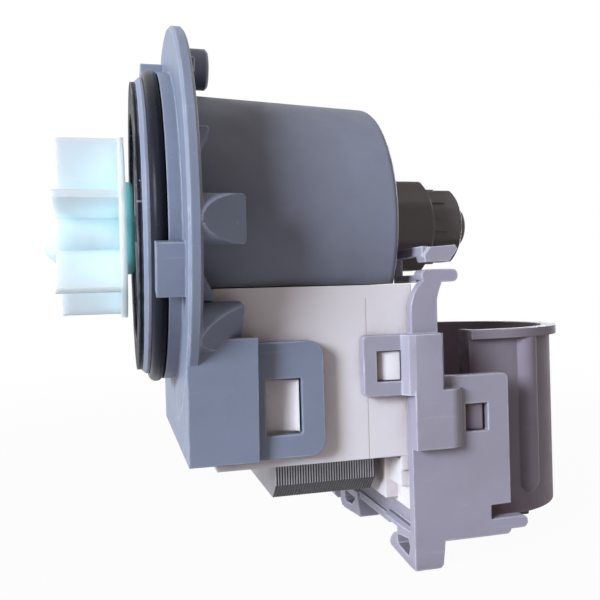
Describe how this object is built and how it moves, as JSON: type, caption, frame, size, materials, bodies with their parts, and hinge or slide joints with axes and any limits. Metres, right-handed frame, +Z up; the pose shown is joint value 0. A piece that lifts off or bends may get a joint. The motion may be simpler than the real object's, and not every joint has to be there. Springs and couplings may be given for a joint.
{
  "type": "washer drain pump",
  "caption": "Washing machine drain pump with a bayonet head, vaned impeller, canned magnet rotor, U-core coils and a clip-on terminal housing.",
  "frame": {"origin": "on the pump axis, in the front face of the bayonet flange", "axes": "+X along the pump axis from the impeller to the rear nose, +Z up from the coils to the drum"},
  "size_m": [0.1207, 0.0858, 0.1158],
  "materials": {
    "head_plastic": "satin",
    "black_rubber": "matt",
    "black_plastic": "satin",
    "drum_plastic": "satin",
    "nose_plastic": "matt",
    "bearing_bronze": "satin",
    "shaft_steel": "polished",
    "natural_plastic": "satin",
    "ferrite": "matt",
    "impeller_plastic": "translucent",
    "teal_plastic": "satin",
    "core_steel": "rolled sheet edges",
    "copper_wire": "enamelled",
    "cover_plastic": "satin",
    "blade_metal": "tinned",
    "housing_plastic": "satin",
    "shroud_plastic": "satin"
  },
  "bodies": {
    "housing": {"pump_head": "head_plastic", "main_o_ring": "black_rubber", "front_seal_ring": "black_rubber", "bearing_cover": "black_plastic", "can_seal": "black_rubber", "motor_drum": "drum_plastic", "rotor_can": "nose_plastic", "front_bearing": "bearing_bronze", "front_bearing_mount": "black_rubber", "rear_bearing": "bearing_bronze", "rear_bearing_mount": "black_rubber", "shaft_seal": "black_rubber", "stator_core": "core_steel", "near_bobbin": "natural_plastic", "far_bobbin": "natural_plastic", "near_winding": "copper_wire", "far_winding": "copper_wire", "coil_cover": "cover_plastic", "terminal_blades": "blade_metal", "terminal_housing": "housing_plastic", "connector_shroud": "shroud_plastic"},
    "rotor": {"rotor_shaft": "shaft_steel", "rotor_sleeve": "natural_plastic", "rotor_magnet": "ferrite", "thrust_washers": "natural_plastic", "drive_dog": "natural_plastic"},
    "impeller": {"impeller": "impeller_plastic", "coupling_cap": "teal_plastic", "coupling_dampers": "black_rubber"}
  },
  "joints": [
    {"name": "rotor_spin", "type": "hinge", "parent": "housing", "child": "rotor", "pos_m": [0, 0, 0], "axis": [1, 0, 0], "continuous": true},
    {"name": "impeller_play", "type": "hinge", "parent": "rotor", "child": "impeller", "pos_m": [0, 0, 0], "axis": [1, 0, 0], "range_deg": [-118, 118]}
  ]
}
